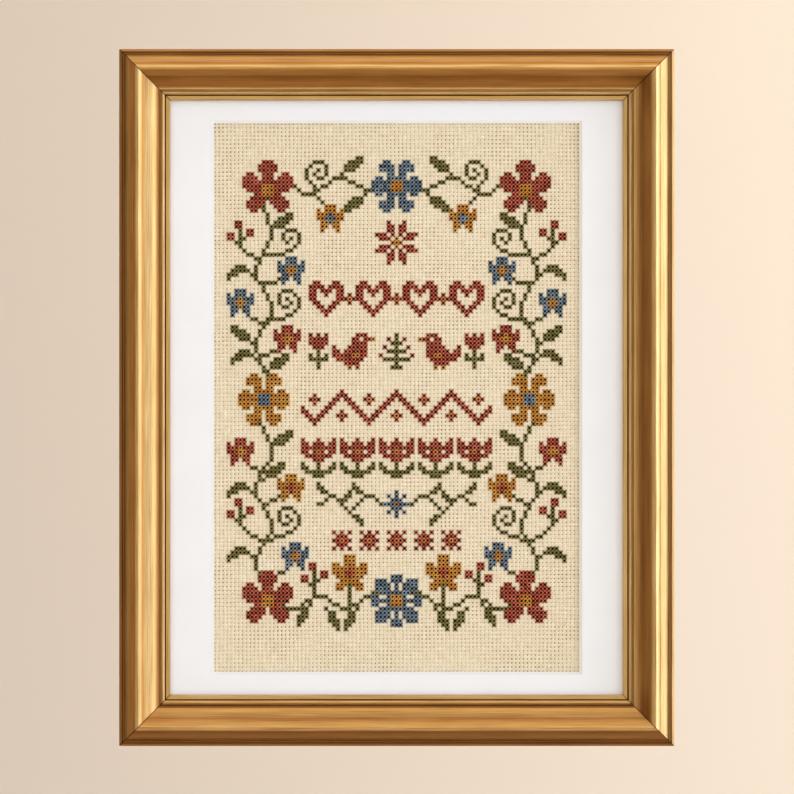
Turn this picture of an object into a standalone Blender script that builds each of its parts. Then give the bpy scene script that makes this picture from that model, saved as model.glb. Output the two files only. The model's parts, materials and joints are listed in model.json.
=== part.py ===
"""Framed cross stitch sampler: a mitred gilt moulding round a white window mat, a sheet of
even-weave cloth that shows in the mat's window, and the board that the cloth is stretched on.

Axes: +X right, +Z up, and the picture faces -Y, with its back on the wall plane y = 0.
Origin: the middle of the top rail's back face, where the picture bears on the wall.
Heights named "rise" are measured forwards from the wall, and "run" is measured across
the moulding, from its outer side towards the picture.
"""

import math

import bmesh
import bpy

MM = 0.001

# The picture seen from the front
FRAME_WIDTH = 253.2 * MM
FRAME_HEIGHT = 318.0 * MM
RAIL_WIDTH = 23.3 * MM
WINDOW_WIDTH = 166.9 * MM
WINDOW_HEIGHT = 250.6 * MM

# The rebate behind the moulding's lip, and the layers that lie in it
LIP_WIDTH = 5.0 * MM
LIP_BACK_RISE = 8.4 * MM
FIT_GAP = 0.3 * MM
MAT_THICKNESS = 1.4 * MM
CLOTH_THICKNESS = 1.0 * MM
CLOTH_MARGIN = 20.0 * MM
BOARD_THICKNESS = 3.0 * MM

# The moulding's section, from its outer side to its sight edge
SIDE_RISE = 11.4 * MM
ROUND_RUN = 1.4 * MM
ROUND_RISE = 1.2 * MM
STEP_DEPTH = 0.7 * MM
REED_RUN = 2.1 * MM
REED_RADIUS = 0.28 * MM
BEVEL_START = (3.1 * MM, 12.5 * MM)
BEVEL_END = (6.2 * MM, 16.2 * MM)
LINE_WIDTH = 0.3 * MM
LINE_DEPTH = 0.25 * MM
CREST = (8.9 * MM, 18.4 * MM)
COVE_BOTTOM = (17.2 * MM, 10.5 * MM)
COVE_END_RUN = 18.6 * MM
BEAD_RUN = 20.1 * MM
BEAD_RADIUS = 0.95 * MM
BEAD_CENTRE_RISE = 10.3 * MM
QUIRK_RISE = 9.8 * MM
LIP_START_RUN = 21.5 * MM
LIP_FRONT_RISE = 10.3 * MM
LIP_ROUNDING = 0.4 * MM

# Each mitre face is drawn back by half of the gap between two rails
MITRE_SETBACK = FIT_GAP / 2

# The origin lies in the middle of the top rail's back face
BACK_FACE_WIDTH = RAIL_WIDTH - LIP_WIDTH
FRAME_CENTRE_Z = BACK_FACE_WIDTH / 2 - FRAME_HEIGHT / 2

# What fits in the rebate
REBATE_WIDTH = FRAME_WIDTH - 2 * BACK_FACE_WIDTH
REBATE_HEIGHT = FRAME_HEIGHT - 2 * BACK_FACE_WIDTH
LAYER_WIDTH = REBATE_WIDTH - 2 * FIT_GAP
LAYER_HEIGHT = REBATE_HEIGHT - 2 * FIT_GAP
MAT_FRONT_RISE = LIP_BACK_RISE - FIT_GAP
MAT_BACK_RISE = MAT_FRONT_RISE - MAT_THICKNESS
CLOTH_FRONT_RISE = MAT_BACK_RISE - FIT_GAP
CLOTH_BACK_RISE = CLOTH_FRONT_RISE - CLOTH_THICKNESS
BOARD_FRONT_RISE = CLOTH_BACK_RISE - FIT_GAP
BOARD_BACK_RISE = BOARD_FRONT_RISE - BOARD_THICKNESS


# Scene, collections and materials

def clear_scene():
    """Removes every object of the start-up scene."""
    for item in list(bpy.data.objects):
        bpy.data.objects.remove(item)


def new_collection(name):
    collection = bpy.data.collections.new(name)
    bpy.context.scene.collection.children.link(collection)
    return collection


def new_material(name, colour, roughness, metallic=0.0):
    material = bpy.data.materials.new(name)
    material.use_nodes = True
    shader = material.node_tree.nodes["Principled BSDF"]
    shader.inputs["Base Color"].default_value = (*colour, 1.0)
    shader.inputs["Roughness"].default_value = roughness
    shader.inputs["Metallic"].default_value = metallic
    return material


def add_object(name, mesh, collection, material=None, parent=None):
    item = bpy.data.objects.new(name, mesh)
    collection.objects.link(item)
    if material is not None:
        mesh.materials.append(material)
    item.parent = parent
    return item


# The moulding's section

def arc(centre, radius, start_degrees, end_degrees, steps):
    """Points on a circle, with 0 degrees towards the picture and 90 degrees forwards."""
    points = []
    for step in range(steps + 1):
        angle = math.radians(start_degrees + (end_degrees - start_degrees) * step / steps)
        points.append((centre[0] + radius * math.cos(angle), centre[1] + radius * math.sin(angle)))
    return points


def quarter_round(steps=6):
    """The rounded outer edge, an ellipse's quarter from the side wall to the step."""
    points = []
    for step in range(steps + 1):
        angle = math.radians(90 * step / steps)
        run = ROUND_RUN * (1 - math.cos(angle))
        rise = SIDE_RISE + ROUND_RISE * math.sin(angle)
        points.append((run, rise))
    return points


def crest_curve(steps=8):
    """The torus between the incised line and the crest: steep at first, level at the crest."""
    start_run = BEVEL_END[0] + LINE_WIDTH
    start_rise = BEVEL_END[1] + LINE_WIDTH / 2
    points = []
    for step in range(steps):
        share = step / steps
        run = start_run + (CREST[0] - start_run) * share
        rise = start_rise + (CREST[1] - start_rise) * math.sin(math.pi / 2 * share)
        points.append((run, rise))
    return points


def ogee_curve(steps=24):
    """The long S from the crest, which is convex, into the cove, which is hollow and curls up at its end."""
    end_share = (COVE_END_RUN - CREST[0]) / (COVE_BOTTOM[0] - CREST[0])
    points = []
    for step in range(steps + 1):
        share = end_share * step / steps
        run = CREST[0] + (COVE_BOTTOM[0] - CREST[0]) * share
        drop = (1 - math.cos(math.pi * share)) / 2
        rise = CREST[1] + (COVE_BOTTOM[1] - CREST[1]) * drop
        points.append((run, rise))
    return points


def moulding_section():
    """The closed outline of the moulding as (run, rise) points, from the back's outer corner."""
    step_rise = SIDE_RISE + ROUND_RISE - STEP_DEPTH
    reed_centre = (REED_RUN, step_rise + REED_RADIUS / 2)
    line_run = BEVEL_END[0] + LINE_WIDTH / 2
    line_rise = BEVEL_END[1] - LINE_DEPTH
    bead_centre = (BEAD_RUN, BEAD_CENTRE_RISE)
    lip_corner = (RAIL_WIDTH - LIP_ROUNDING, LIP_FRONT_RISE - LIP_ROUNDING)
    outline = [(0.0, 0.0)]
    outline += quarter_round()
    outline.append((ROUND_RUN, step_rise))
    outline += arc(reed_centre, REED_RADIUS, 210, -30, 6)
    outline.append((BEVEL_START[0] - LINE_WIDTH, step_rise))
    outline.append(BEVEL_START)
    outline.append(BEVEL_END)
    outline.append((line_run, line_rise))
    outline += crest_curve()
    outline += ogee_curve()
    outline.append((COVE_END_RUN + LINE_WIDTH, QUIRK_RISE))
    outline += arc(bead_centre, BEAD_RADIUS, 190, -20, 12)
    outline.append((BEAD_RUN + BEAD_RADIUS, QUIRK_RISE - LINE_DEPTH))
    outline.append((LIP_START_RUN - LINE_WIDTH / 2, QUIRK_RISE - LINE_DEPTH))
    outline.append((LIP_START_RUN, LIP_FRONT_RISE))
    outline += arc(lip_corner, LIP_ROUNDING, 90, 0, 4)
    outline.append((RAIL_WIDTH, LIP_BACK_RISE))
    outline.append((BACK_FACE_WIDTH, LIP_BACK_RISE))
    outline.append((BACK_FACE_WIDTH, 0.0))
    return outline


# The four rails

def section_prism(name, outline, length):
    """A mesh of the outline extruded along its local Z, made from a filled flat curve."""
    curve = bpy.data.curves.new(name, "CURVE")
    curve.dimensions = "2D"
    curve.fill_mode = "BOTH"
    curve.extrude = length / 2
    spline = curve.splines.new("POLY")
    spline.points.add(len(outline) - 1)
    for point, (run, rise) in zip(spline.points, outline):
        point.co = (run, rise, 0.0, 1.0)
    spline.use_cyclic_u = True
    guide = bpy.data.objects.new(name, curve)
    bpy.context.scene.collection.objects.link(guide)
    graph = bpy.context.evaluated_depsgraph_get()
    mesh = bpy.data.meshes.new_from_object(guide.evaluated_get(graph))
    bpy.data.objects.remove(guide)
    return mesh


def cut_mitre(form, length, reach, side):
    """Cuts one end at 45 degrees. side is 1 at the +X end and -1 at the -X end."""
    corner = (side * (length / 2 - MITRE_SETBACK * math.sqrt(2)), 0.0, -reach)
    normal = (side, 0.0, 1.0)
    everything = form.verts[:] + form.edges[:] + form.faces[:]
    bmesh.ops.bisect_plane(
        form, geom=everything, plane_co=corner, plane_no=normal, clear_outer=True
    )
    open_edges = [edge for edge in form.edges if edge.is_boundary]
    bmesh.ops.holes_fill(form, edges=open_edges, sides=0)


def mitred_rail(name, length, reach, turn_degrees, collection, material, parent):
    """A rail whose outer side lies reach below the frame's centre, turned about the centre."""
    mesh = section_prism(name, moulding_section(), length)
    form = bmesh.new()
    form.from_mesh(mesh)
    bmesh.ops.remove_doubles(form, verts=form.verts, dist=0.00001)
    for vert in form.verts:
        run, rise, along = vert.co
        vert.co = (along, -rise, run - reach)
    for side in (1, -1):
        cut_mitre(form, length, reach, side)
    bmesh.ops.recalc_face_normals(form, faces=form.faces)
    form.to_mesh(mesh)
    form.free()
    mesh.shade_smooth()
    mesh.set_sharp_from_angle(angle=math.radians(25))
    rail = add_object(name, mesh, collection, material, parent)
    rail.rotation_euler.y = math.radians(turn_degrees)
    return rail


# The layers in the rebate

def slab(name, width, height, back_rise, thickness, collection, material, parent):
    """A flat rectangular layer whose back face lies back_rise in front of the wall."""
    mesh = bpy.data.meshes.new(name)
    form = bmesh.new()
    bmesh.ops.create_cube(form, size=1.0)
    bmesh.ops.scale(form, vec=(width, thickness, height), verts=form.verts)
    form.to_mesh(mesh)
    form.free()
    layer = add_object(name, mesh, collection, material, parent)
    layer.location.y = -(back_rise + thickness / 2)
    return layer


def window_cutter(collection, parent):
    """The mat's window as a solid that widens forwards at 45 degrees, longer than the mat is thick."""
    depth = 3 * MAT_THICKNESS
    mesh = bpy.data.meshes.new("window_cutter")
    form = bmesh.new()
    bmesh.ops.create_cube(form, size=1.0)
    bmesh.ops.scale(form, vec=(WINDOW_WIDTH, depth, WINDOW_HEIGHT), verts=form.verts)
    for vert in form.verts:
        if vert.co.y > 0:
            spread = -MAT_THICKNESS
        else:
            spread = 2 * MAT_THICKNESS
        vert.co.x += spread * math.copysign(1.0, vert.co.x)
        vert.co.z += spread * math.copysign(1.0, vert.co.z)
    form.to_mesh(mesh)
    form.free()
    cutter = add_object("window_cutter", mesh, collection, parent=parent)
    cutter.location.y = -(MAT_BACK_RISE + MAT_THICKNESS / 2)
    cutter.hide_render = True
    cutter.display_type = "WIRE"
    return cutter


def window_mat(collection, cutters, material, parent):
    mat = slab(
        "window_mat", LAYER_WIDTH, LAYER_HEIGHT, MAT_BACK_RISE, MAT_THICKNESS,
        collection, material, parent,
    )
    cut = mat.modifiers.new("window", "BOOLEAN")
    cut.operation = "DIFFERENCE"
    cut.object = window_cutter(cutters, parent)
    return mat


def main():
    clear_scene()
    parts = new_collection("framed_cross_stitch_sampler")
    cutters = new_collection("cutters")
    gilt = new_material("gilt_moulding", (0.60, 0.36, 0.14), 0.35, 0.9)
    card = new_material("white_mat_card", (0.88, 0.87, 0.83), 0.85)
    cotton = new_material("cream_cotton", (0.82, 0.70, 0.50), 0.95)
    board = new_material("backing_board", (0.36, 0.24, 0.14), 0.8)

    centre = bpy.data.objects.new("frame_centre", None)
    parts.objects.link(centre)
    centre.location.z = FRAME_CENTRE_Z

    rails = (
        ("bottom_rail", FRAME_WIDTH, FRAME_HEIGHT / 2, 0),
        ("left_rail", FRAME_HEIGHT, FRAME_WIDTH / 2, 90),
        ("top_rail", FRAME_WIDTH, FRAME_HEIGHT / 2, 180),
        ("right_rail", FRAME_HEIGHT, FRAME_WIDTH / 2, 270),
    )
    for name, length, reach, turn_degrees in rails:
        mitred_rail(name, length, reach, turn_degrees, parts, gilt, centre)

    window_mat(parts, cutters, card, centre)
    slab(
        "stitched_cloth", WINDOW_WIDTH + 2 * CLOTH_MARGIN, WINDOW_HEIGHT + CLOTH_MARGIN,
        CLOTH_BACK_RISE, CLOTH_THICKNESS, parts, cotton, centre,
    )
    slab(
        "backing_board", LAYER_WIDTH, LAYER_HEIGHT, BOARD_BACK_RISE, BOARD_THICKNESS,
        parts, board, centre,
    )


main()
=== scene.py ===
# %% [markdown]
# # A framed cross stitch sampler
#
# The sampler is a picture made of thread: small crosses, sewn one by one over the squares of an
# even-weave cloth. The cloth is stretched on a board, a white window mat lies on it, and a gilt
# moulding holds the lot. The solid model gives the sizes and places of those pieces. This script
# puts the fine surfaces round it: the weave, every stitch, the moulding's finish and the light.
#
# First the imported model is loaded, and its box is kept. Its box is kept, because nothing made
# here may outgrow it.

import json
import math
import random
from functools import partial

import bmesh
import bpy
from mathutils import Matrix, Vector, noise

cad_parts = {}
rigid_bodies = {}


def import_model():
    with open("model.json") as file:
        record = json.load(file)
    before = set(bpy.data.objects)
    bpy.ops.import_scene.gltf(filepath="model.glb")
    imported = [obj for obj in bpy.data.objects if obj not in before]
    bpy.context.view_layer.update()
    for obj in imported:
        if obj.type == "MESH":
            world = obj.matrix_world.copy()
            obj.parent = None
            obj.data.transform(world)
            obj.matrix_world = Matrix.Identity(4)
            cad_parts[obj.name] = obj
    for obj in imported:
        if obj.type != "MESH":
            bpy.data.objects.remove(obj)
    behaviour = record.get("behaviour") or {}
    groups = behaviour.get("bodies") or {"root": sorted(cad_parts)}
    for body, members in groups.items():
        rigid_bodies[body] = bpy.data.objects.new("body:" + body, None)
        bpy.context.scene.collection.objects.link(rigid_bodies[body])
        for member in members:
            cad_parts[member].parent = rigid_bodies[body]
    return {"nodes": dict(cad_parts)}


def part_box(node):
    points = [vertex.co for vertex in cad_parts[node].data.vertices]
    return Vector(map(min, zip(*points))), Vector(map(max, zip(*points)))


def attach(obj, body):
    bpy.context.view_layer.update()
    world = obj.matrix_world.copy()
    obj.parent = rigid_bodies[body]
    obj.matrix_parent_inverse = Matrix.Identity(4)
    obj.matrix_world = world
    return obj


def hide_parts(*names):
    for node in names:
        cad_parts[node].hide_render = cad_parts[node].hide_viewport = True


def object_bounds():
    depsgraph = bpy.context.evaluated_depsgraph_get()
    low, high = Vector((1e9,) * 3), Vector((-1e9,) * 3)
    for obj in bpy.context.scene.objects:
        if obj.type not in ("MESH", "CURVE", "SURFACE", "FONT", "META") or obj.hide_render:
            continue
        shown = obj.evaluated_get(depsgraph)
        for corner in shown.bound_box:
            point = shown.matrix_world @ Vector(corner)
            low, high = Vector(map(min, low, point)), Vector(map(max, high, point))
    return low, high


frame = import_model()
cad_low, cad_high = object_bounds()
MM = 0.001
print("nodes:", ", ".join(sorted(frame["nodes"])))
print("box in mm:", [round(side / MM, 1) for side in cad_high - cad_low])

# %% [markdown]
# ## Sizes
#
# The main sizes come from the solids, and the others are named where they are first used. The
# picture faces -Y, so a "rise" is a height in front of the wall, and a "run" is measured across
# the moulding from its outer side towards the picture.

# %% Read the sizes of the solids
cloth_low, cloth_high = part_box("stitched_cloth")
FRAME_WIDTH = cad_high.x - cad_low.x
FRAME_HEIGHT = cad_high.z - cad_low.z
CENTRE = Vector(((cad_low.x + cad_high.x) / 2, 0.0, (cad_low.z + cad_high.z) / 2))
CLOTH_THICKNESS = cloth_high.y - cloth_low.y
CLOTH_FRONT = cloth_low.y

# %% [markdown]
# ## Helpers
#
# A colour picker gives colours as sRGB, but a shader works with linear light, so one function
# turns a hex value to linear. The next two fill in a node's sockets and add a node of any kind.
# A new material comes with that second one tied to its own nodes, as add, so that its recipe
# stays short. Yarn, brushed gold and wood all have long streaks, which come from a noise that is
# squeezed more one way than the other.

# %% Colour and node helpers
def linear(hex_colour):
    """The linear RGBA of an sRGB hex colour such as #F1F0EB."""
    channels = []
    for start in (1, 3, 5):
        value = int(hex_colour[start:start + 2], 16) / 255
        if value <= 0.04045:
            channels.append(value / 12.92)
        else:
            channels.append(((value + 0.055) / 1.055) ** 2.4)
    return (*channels, 1.0)


def set_inputs(node, inputs):
    """Gives sockets, by name or number, a value or a link. A node stands for its first output."""
    for name, value in inputs.items():
        if isinstance(value, bpy.types.Node):
            value = value.outputs[0]
        if isinstance(value, bpy.types.NodeSocket):
            node.id_data.links.new(value, node.inputs[name])
        else:
            node.inputs[name].default_value = value


def add_node(tree, family, kind, inputs=None, stops=None, **settings):
    """Adds a node. Blender's name for it is family and kind together. stops are for a ramp."""
    made = tree.nodes.new(family + kind)
    for name, value in settings.items():
        setattr(made, name, value)
    set_inputs(made, inputs or {})
    if stops:
        elements = made.color_ramp.elements
        while len(elements) < len(stops):
            elements.new(0.5)
        for element, (position, hex_colour) in zip(elements, stops.items()):
            element.position = position
            element.color = linear(hex_colour)
    return made


def new_material(name):
    """A node material, a short way to add nodes to it, and its shader."""
    material = bpy.data.materials.new(name)
    material.use_nodes = True
    tree = material.node_tree
    return material, partial(add_node, tree, "ShaderNode"), tree.nodes["Principled BSDF"]


def streaks_on(lay, scales, detail, distortion=0.0):
    """A noise on the map that the node lay gives, with a scale along it and one across it."""
    add = partial(add_node, lay.id_data, "ShaderNode")
    places = add("Mapping", {"Vector": lay, "Scale": (*scales, 1.0)})
    return add("TexNoise", {
        "Vector": places, "Scale": 1.0, "Detail": detail, "Distortion": distortion,
    })


# %% Object and mesh helpers
def add_object(name, data):
    """Puts a mesh, a lamp or the camera into the scene."""
    item = bpy.data.objects.new(name, data)
    bpy.context.scene.collection.objects.link(item)
    return item


def make_object(name, form, materials):
    """Turns a bmesh into an object whose place is in its mesh."""
    mesh = bpy.data.meshes.new(name)
    form.to_mesh(mesh)
    form.free()
    for material in materials:
        mesh.materials.append(material)
    return add_object(name, mesh)


def verts_in(parts):
    """The vertices among the parts that a bmesh operator made."""
    return [part for part in parts if isinstance(part, bmesh.types.BMVert)]


def open_edges(form):
    """The edges with a face on one side only."""
    return [edge for edge in form.edges if edge.is_boundary]


def triangles(item):
    """How many triangles an object's mesh has."""
    item.data.calc_loop_triangles()
    return len(item.data.loop_triangles)


# %% [markdown]
# ## The camera
#
# The photograph looks straight at the picture through a long lens: all four sides of the
# moulding look alike, and nothing converges. The lens is worked out so that the frame's outer
# edges, which lie 12 mm in front of the wall, fall on the pixels where the photograph has them.

# %% Camera
IMAGE_PIXELS = 794
LEFT_EDGE_PIXEL = 119.15
RIGHT_EDGE_PIXEL = 674.1
TOP_EDGE_PIXEL = 49.25
BOTTOM_EDGE_PIXEL = 745.9
CAMERA_DISTANCE = 2.6
SENSOR_WIDTH = 36.0
EDGE_RISE = 12.0 * MM

pixels_per_metre = (RIGHT_EDGE_PIXEL - LEFT_EDGE_PIXEL) / FRAME_WIDTH
middle_across = (LEFT_EDGE_PIXEL + RIGHT_EDGE_PIXEL) / 2
middle_down = (TOP_EDGE_PIXEL + BOTTOM_EDGE_PIXEL) / 2
camera_data = bpy.data.cameras.new("camera")
camera_data.sensor_width = SENSOR_WIDTH
camera_data.lens = SENSOR_WIDTH * pixels_per_metre * CAMERA_DISTANCE / IMAGE_PIXELS
camera = add_object("camera", camera_data)
camera.location = (
    CENTRE.x + (IMAGE_PIXELS / 2 - middle_across) / pixels_per_metre,
    -EDGE_RISE - CAMERA_DISTANCE,
    CENTRE.z - (IMAGE_PIXELS / 2 - middle_down) / pixels_per_metre,
)
camera.rotation_euler = (math.radians(90), 0.0, 0.0)
bpy.context.scene.camera = camera
print("lens in mm:", round(camera_data.lens, 1))

# %% [markdown]
# ## Charting the design
#
# A cross stitch design is a chart: a grid of squares, each with a thread colour or blank. The
# chart is a dictionary from (column, row) to a thread. One function sets a stitch and its mirror
# image, so the whole design is the same left and right of the middle column. A stem is a smooth
# curve through a few points. Nearly all else is charted as text, with a letter for each stitch.

# %% The chart and its drawing tools
COLUMNS = 93
ROWS = 136
THREAD_MARKS = {"R": "brick_red", "B": "steel_blue", "O": "ochre", "G": "olive"}
chart = {}


def stitch(column, row, thread):
    """Sets one square and its mirror image."""
    chart[column, row] = chart[COLUMNS - 1 - column, row] = thread


def curve_through(points, steps=24):
    """Places along a smooth Catmull-Rom curve through the points."""
    ends = [points[0], *points, points[-1]]
    places = []
    for before, start, end, after in zip(ends, ends[1:], ends[2:], ends[3:]):
        for step in range(steps):
            t = step / steps
            place = []
            for a, b, c, d in zip(before, start, end, after):
                turn = 2 * a - 5 * b + 4 * c - d
                bend = 3 * b - a - 3 * c + d
                place.append(0.5 * (2 * b + (c - a) * t + turn * t**2 + bend * t**3))
            places.append(place)
    return [*places, points[-1]]


def stem(points):
    """A line of single stitches along a curve, joined corner to corner where it slants."""
    squares = []
    for column, row in curve_through(points):
        square = (round(column), round(row))
        while len(squares) > 1 and math.dist(square, squares[-2]) < 2:
            squares.pop()
        if not squares or squares[-1] != square:
            squares.append(square)
    for square in squares:
        stitch(*square, "olive")


def motif(text, left, bottom, marks=THREAD_MARKS, across=1, up=1):
    """Copies a motif that is charted as text, top line first, a letter for each thread.

    left and bottom are where the text's bottom left corner goes. across or up of -1 turns the
    motif over.
    """
    for number, line in enumerate(reversed(text.split())):
        for column, mark in enumerate(line):
            if mark in marks:
                stitch(left + across * column, bottom + up * number, marks[mark])


# %% [markdown]
# ## The border
#
# A waving vine with flowers in its hollows is one of the oldest sampler borders. It is drawn for
# the left half only. A leaf has its stalk at the lower left, and a curl or a spray of buds has it
# at the foot. In a flower, X is the petals' thread and O the heart's, and both are chosen where
# the flower is placed.

# %% Leaves, curls, buds and flowers
BROAD_LEAF = """
....GG
..GGGG
.GGGG.
.GGG..
G.....
"""
SLIM_LEAF = """
...G
..GG
.GGG
.GG.
.GG.
G...
"""
NODDING_LEAF = """
..GGG..
.GGGGG.
G...GGG
......G
"""
CURL = """
..GGG.
.G...G
G..G.G
G.G..G
G..GG.
.G....
..G...
"""
SMALL_CURL = """
.GGG.
G...G
G.G.G
G..G.
.G...
..G..
"""
BUDS = """
..RR...
..RR...
...G.RR
RR.G.RR
RR.GG..
..GG...
...G...
"""
LITTLE_FIVE_PETALS = """
..XXX..
X.XXX.X
XXXOXXX
XXOOOXX
.XXOXX.
.XX.XX.
.X...X.
"""
SMALL_FIVE_PETALS = """
...XXX...
...XXX...
XX.XXX.XX
XXXXOXXXX
XXXOOOXXX
.XXXOXXX.
..XXXXX..
.XXX.XXX.
.XX...XX.
"""
FIVE_PETALS = """
.....XXX.....
....XXXXX....
....XXXXX....
.XX..XXX..XX.
XXXX.XXX.XXXX
XXXXXXXXXXXXX
XXXXXOOOXXXXX
.XXXXOOOXXXX.
...XXOOOXX...
..XXXX.XXXX..
.XXXXX.XXXXX.
.XXXX...XXXX.
..XX.....XX..
"""
SIX_PETALS = """
...XX...XX...
..XXXX.XXXX..
..XXXX.XXXX..
....XX.XX....
.XX.XXXXX.XX.
XXXXXOOOXXXXX
XXXXXOOOXXXXX
XXXXXOOOXXXXX
.XX.XXXXX.XX.
....XX.XX....
..XXXX.XXXX..
..XXXX.XXXX..
...XX...XX...
"""
EIGHT_PETALS = """
.....XXX.....
.XXX.XXX.XXX.
.XXXX.X.XXXX.
.XXXX.X.XXXX.
..XXXXXXXXX..
XX..XOOOX..XX
XXXXXOOOXXXXX
XX..XOOOX..XX
..XXXXXXXXX..
.XXXX.X.XXXX.
.XXXX.X.XXXX.
.XXX.XXX.XXX.
.....XXX.....
"""

# %% Border of vine, leaves and flowers
VINE = [
    (46, 17), (40, 19), (33, 15), (26, 18), (19, 15), (14, 19), (10, 27), (14, 36),
    (10, 45), (14, 54), (11, 63), (13, 72), (10, 81), (14, 90), (10, 99), (14, 108),
    (12, 116), (17, 121), (24, 118), (32, 122), (39, 119), (46, 121),
]
LEAVES = [
    (SLIM_LEAF, [(36, 15, -1, -1), (28, 15, 1, -1), (24, 16, -1, -1)]),
    (NODDING_LEAF, [(9, 27, -1, 1), (9, 43, -1, 1), (10, 76, -1, 1), (9, 97, -1, 1)]),
    (BROAD_LEAF, [
        (12, 47, 1, 1), (14, 55, 1, 1), (13, 74, 1, 1), (9, 81, -1, 1), (14, 109, 1, 1),
        (38, 118, -1, -1), (32, 123, 1, 1),
    ]),
]
TENDRILS = [
    (CURL, 21, 34, -1, [(13, 32), (16, 33), (19, 34)]),
    (CURL, 21, 88, -1, [(13, 87), (16, 87), (19, 88)]),
    (SMALL_CURL, 21, 104, -1, [(12, 103), (16, 103), (19, 104)]),
    (CURL, 23, 120, 1, [(24, 118), (25, 120)]),
    (BUDS, 3, 36, 1, [(12, 31), (9, 33), (6, 36)]),
    (BUDS, 22, 20, 1, [(25, 18), (25, 20)]),
    (BUDS, 3, 105, 1, [(11, 102), (8, 103), (6, 105)]),
]
FLOWERS = [
    (LITTLE_FIVE_PETALS, 20, 28, "BO", [(12, 22), (17, 24)]),
    (LITTLE_FIVE_PETALS, 19, 45, "OR", [(12, 41), (15, 42)]),
    (LITTLE_FIVE_PETALS, 6, 54, "RO", [(12, 49), (9, 50)]),
    (LITTLE_FIVE_PETALS, 18, 82, "RO", [(11, 78), (15, 79)]),
    (LITTLE_FIVE_PETALS, 6, 91, "BO", [(12, 86), (9, 87)]),
    (LITTLE_FIVE_PETALS, 19, 99, "BO", [(11, 96), (15, 96)]),
    (LITTLE_FIVE_PETALS, 29, 112, "OB", [(25, 118), (27, 116)]),
    (SMALL_FIVE_PETALS, 34, 24, "OR", [(34, 15), (34, 19)]),
    (EIGHT_PETALS, 46, 17, "BO", []),
    (FIVE_PETALS, 13, 18, "RO", []),
    (SIX_PETALS, 12, 67, "OB", []),
    (FIVE_PETALS, 13, 120, "RO", []),
    (SIX_PETALS, 46, 120, "BO", []),
]


def draw_border():
    stem(VINE)
    for text, places in LEAVES:
        for column, row, across, up in places:
            motif(text, column, row, across=across, up=up)
    for text, column, row, across, path in TENDRILS:
        stem(path)
        motif(text, column, row, across=across)
    for text, column, row, marks, path in FLOWERS:
        half = len(text.split()) // 2
        stem([*path, (column, row)])
        petals, heart = (THREAD_MARKS[mark] for mark in marks)
        motif(text, column - half, row - half, {"X": petals, "O": heart})


draw_border()
print("border stitches:", len(chart))

# %% [markdown]
# ## The rows in the middle
#
# Band samplers fill the middle with rows of small repeats. These are common ones: an eight-point
# star, hearts, birds by a tree, a zigzag, tulips, a sprig and florets. ROW_MOTIFS gives each
# one's bottom row and its left columns.

# %% Charted motifs for the rows
STAR = """
...R...R...
...RR.RR...
...RR.RR...
RRR.R.R.RRR
.RRR.O.RRR.
....OOO....
.RRR.O.RRR.
RRR.R.R.RRR
...RR.RR...
...RR.RR...
...R...R...
"""
HEART = """
.RR...RR.
RRRR.RRRR
RR.RRR.RR
RR..R..RR
RR.....RR
.RR...RR.
..RR.RR..
...RRR...
....R....
"""
DIAMOND = """
.R.
ROR
.R.
"""
BIRD = """
......RRR..
.....RR.RRO
.....RRRR..
R...RRRRR..
RR.RRRRRR..
RRRRROORR..
.RRRRRRR...
...RRRR....
....O.O....
"""
TREE = """
....G....
..R.G.R..
...GGG...
.R..G..R.
..GGGGG..
R...G...R
.GGGGGGG.
....G....
...GGG...
"""
SLIM_TULIP = """
R.R.R
RRRRR
RRRRR
.RRR.
..G..
G.G.G
GGGGG
..G..
..G..
"""
WIDE_TULIP = """
R...R...R
RR.RRR.RR
RRRRRRRRR
RR.ROR.RR
.RRRRRRR.
...RRR...
G...G...G
GG..G..GG
.GGGGGGG.
...GGG...
"""
SNOWFLOWER = """
...B...
.B.B.B.
..BBB..
BBBOBBB
..BBB..
.B.B.B.
...B...
"""
FLORET = """
R.R.R
.RRR.
RRORR
.RRR.
R.R.R
"""
TINY_LEAF = """
..G
.GG
GG.
"""

# %% Rows of charted motifs
MIDDLE_COLUMN = (COLUMNS - 1) // 2
ROW_MOTIFS = [
    (STAR, 101, [41]), (HEART, 88, [24, 36]), (DIAMOND, 91, [33, 45]),
    (SLIM_TULIP, 75, [24]), (BIRD, 75, [30]), (TREE, 75, [42]),
    (DIAMOND, 62, [31, 45]), (DIAMOND, 66, [24, 38]), (WIDE_TULIP, 48, [22, 32, 42]),
    (SNOWFLOWER, 38, [43]), (FLORET, 30, [30, 37, 44]),
]
SPRIG = [(42, 41), (38, 43), (34, 39), (30, 43), (26, 41)]
SPRIG_LEAVES = [(37, 44, -1, 1), (35, 38, 1, -1), (28, 44, -1, 1), (32, 42, 1, 1)]


def zigzag(bottom, height, left):
    """A slanting line two stitches thick that runs down and up from the middle to the left."""
    for column in range(left, MIDDLE_COLUMN + 1):
        phase = (MIDDLE_COLUMN - column) % (2 * height)
        drop = min(phase, 2 * height - phase)
        for up in (0, 1):
            stitch(column, bottom + height - drop + up, "brick_red")


def draw_rows():
    zigzag(bottom=61, height=7, left=22)
    stem(SPRIG)
    for column, row, across, up in SPRIG_LEAVES:
        motif(TINY_LEAF, column, row, across=across, up=up)
    for text, bottom, lefts in ROW_MOTIFS:
        for left in lefts:
            motif(text, left, bottom)


draw_rows()
for thread in THREAD_MARKS.values():
    print(thread, "stitches:", sum(1 for found in chart.values() if found == thread))

# %% [markdown]
# ## Where the holes of the cloth lie
#
# The cloth is woven in squares, with a hole at each corner for the needle. Real cloth is never
# quite true, so one function bends the lattice a little, with one noise for the whole cloth and
# one for each line of holes. The last number of a noise's place only picks another part of it.
# The cloth and the stitches both ask this function for their places, and so they always agree.

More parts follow.
